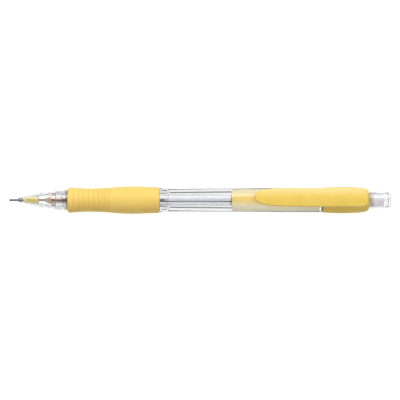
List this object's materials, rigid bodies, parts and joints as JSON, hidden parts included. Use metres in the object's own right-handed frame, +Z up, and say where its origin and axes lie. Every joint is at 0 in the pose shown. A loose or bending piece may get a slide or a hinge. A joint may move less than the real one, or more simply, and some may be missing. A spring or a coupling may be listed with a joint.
{
  "type": "mechanical pencil",
  "caption": "Slim push-button mechanical pencil with a clear body, a waisted ribbed rubber grip, a long pocket clip and a clear cap over a small eraser.",
  "frame": {"origin": "on the table under the middle of the pencil's length, directly below its axis: the grip's lowest point is at Z = 0", "axes": "X along the pencil with the writing tip at -X and the push button at +X, Z up through the pocket clip, Y across"},
  "size_m": [0.142, 0.0104, 0.0115],
  "materials": {
    "clear_plastic": "clear polished",
    "frosted_plastic": "translucent, slightly milky",
    "yellow_plastic": "satin moulded",
    "yellow_rubber": "soft matte",
    "steel": "drawn",
    "brass": "turned, slightly coppery",
    "graphite": "dull sheen",
    "eraser_white": "soft, slightly translucent",
    "dark_rubber": "matte"
  },
  "bodies": {
    "barrel": {"front_barrel": "clear_plastic", "rear_barrel": "clear_plastic", "grip": "yellow_rubber", "rear_sleeve": "yellow_plastic", "clutch_bush": "clear_plastic", "return_spring": "steel"},
    "cone": {"nose_cone": "clear_plastic"},
    "tip": {"tip_slider": "yellow_plastic", "lead_pipe": "steel", "lead_retainer": "dark_rubber"},
    "push_unit": {"chuck": "brass", "chuck_joint": "frosted_plastic", "lead_tube": "frosted_plastic"},
    "jaw_a": {"chuck_jaw_a": "brass"},
    "jaw_b": {"chuck_jaw_b": "brass"},
    "jaw_c": {"chuck_jaw_c": "brass"},
    "clutch": {"clutch_ring": "brass"},
    "lead_in_use": {"writing_lead": "graphite"},
    "lead_spare": {"spare_lead": "graphite"},
    "eraser_body": {"eraser": "eraser_white"},
    "cap": {"eraser_cap": "clear_plastic"},
    "clip_arm": {"clip": "yellow_plastic"}
  },
  "joints": [
    {"name": "button_press", "type": "slide", "parent": "barrel", "child": "push_unit", "axis": [-1, 0, 0], "range_m": [0, 0.003], "stiffness_N_per_m": 1000, "springref_m": -0.0005, "deforming": ["return_spring"]},
    {"name": "clutch_travel", "type": "slide", "parent": "barrel", "child": "clutch", "axis": [-1, 0, 0], "range_m": [0, 0.00075]},
    {"name": "lead_feed", "type": "slide", "parent": "barrel", "child": "lead_in_use", "axis": [-1, 0, 0], "range_m": [0, 0.0006]},
    {"name": "jaw_a_open", "type": "hinge", "parent": "push_unit", "child": "jaw_a", "pos_m": [-0.05, 0, 0.0061], "axis": [0, 1, 0], "range_deg": [0, 1.2]},
    {"name": "jaw_b_open", "type": "hinge", "parent": "push_unit", "child": "jaw_b", "pos_m": [-0.05, -0.00082, 0.00468], "axis": [0, -0.5, 0.866], "range_deg": [0, 1.2]},
    {"name": "jaw_c_open", "type": "hinge", "parent": "push_unit", "child": "jaw_c", "pos_m": [-0.05, 0.00082, 0.00468], "axis": [0, -0.5, -0.866], "range_deg": [0, 1.2]},
    {"name": "cone_unscrew", "type": "slide", "parent": "barrel", "child": "cone", "axis": [-1, 0, 0], "range_m": [0, 0.018]},
    {"name": "tip_retract", "type": "slide", "parent": "cone", "child": "tip", "axis": [-1, 0, 0], "range_m": [-0.0022, 0]},
    {"name": "cap_pull", "type": "slide", "parent": "push_unit", "child": "cap", "axis": [1, 0, 0], "range_m": [0, 0.02]},
    {"name": "eraser_pull", "type": "slide", "parent": "push_unit", "child": "eraser_body", "axis": [1, 0, 0], "range_m": [0, 0.007]},
    {"name": "spare_lead_slide", "type": "slide", "parent": "push_unit", "child": "lead_spare", "axis": [1, 0, 0], "range_m": [-0.0008, 0.029]},
    {"name": "clip_flex", "type": "hinge", "parent": "barrel", "child": "clip_arm", "pos_m": [0.0465, 0, 0.0115], "axis": [0, 1, 0], "range_deg": [0, 4], "stiffness_Nm_per_rad": 2}
  ],
  "couplings": [
    {"joint": "clutch_travel", "follows": "button_press", "ratio": 0.25},
    {"joint": "lead_feed", "follows": "button_press", "ratio": 0.2},
    {"joint": "jaw_a_open", "follows": "button_press", "rad_per_m": 6.9743},
    {"joint": "jaw_b_open", "follows": "button_press", "rad_per_m": 6.9743},
    {"joint": "jaw_c_open", "follows": "button_press", "rad_per_m": 6.9743},
    {"joint": "eraser_pull", "follows": "cap_pull", "ratio": 0.35}
  ]
}
